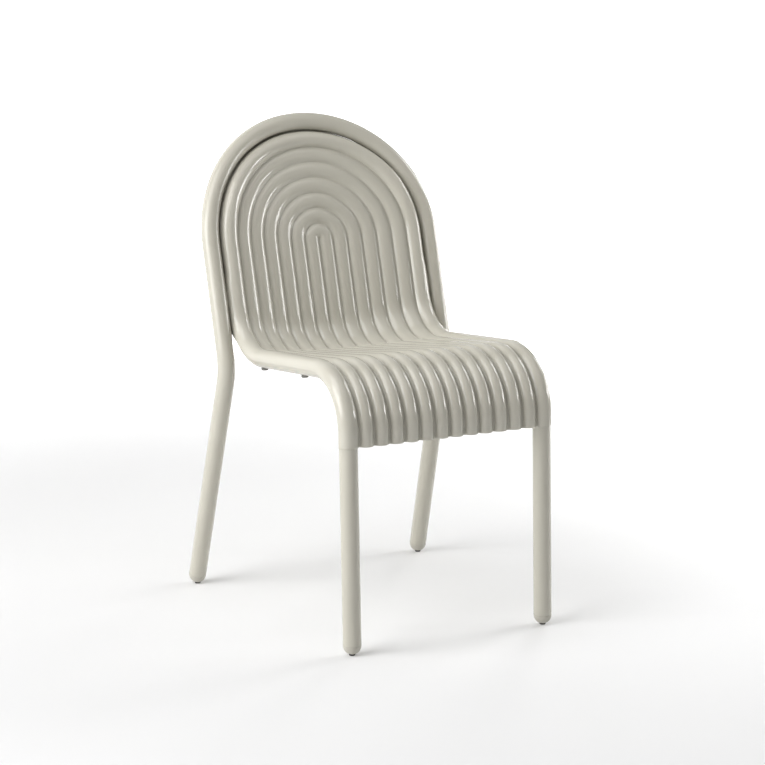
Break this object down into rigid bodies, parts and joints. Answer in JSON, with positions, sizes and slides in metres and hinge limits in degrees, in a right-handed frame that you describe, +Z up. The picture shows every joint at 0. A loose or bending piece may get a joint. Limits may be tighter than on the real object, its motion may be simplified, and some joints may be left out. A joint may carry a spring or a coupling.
{
  "type": "outdoor side chair",
  "caption": "Armless stacking side chair: a one-piece ribbed plastic seat and arched back on a bent round-tube frame with a hooped rear leg frame and rounded feet, for porch or patio.",
  "frame": {"origin": "on the floor, below the middle of the chair's overall box", "axes": "+Z up, the front of the seat towards -Y, +X to the right seen from the front, across the seat"},
  "size_m": [0.4756, 0.5634, 0.8165],
  "materials": {
    "shell": "glossy moulded plastic, pebble grey",
    "frame": "satin powder coat, pebble grey",
    "plug": "satin moulded plastic, pebble grey",
    "pad": "matt dark grey",
    "fixing": "plain steel",
    "insert": "plain brass"
  },
  "bodies": {
    "root": {"seat_shell": "shell", "seat_bosses": "shell", "back_bosses": "shell", "left_side_tube": "frame", "right_side_tube": "frame", "rear_hoop": "frame", "left_joint_plate": "frame", "right_joint_plate": "frame", "front_seat_bar": "frame", "rear_seat_bar": "frame", "left_back_bracket": "frame", "right_back_bracket": "frame", "top_back_bracket": "frame", "front_left_foot_plug": "plug", "front_right_foot_plug": "plug", "rear_left_foot_plug": "plug", "rear_right_foot_plug": "plug", "left_rail_cap": "plug", "right_rail_cap": "plug", "front_left_glide": "pad", "front_right_glide": "pad", "rear_left_glide": "pad", "rear_right_glide": "pad", "left_front_bumper": "pad", "left_rear_bumper": "pad", "right_front_bumper": "pad", "right_rear_bumper": "pad", "seat_screws": "fixing", "seat_washers": "fixing", "back_screws": "fixing", "back_washers": "fixing", "seat_inserts": "insert", "back_inserts": "insert"}
  },
  "joints": []
}
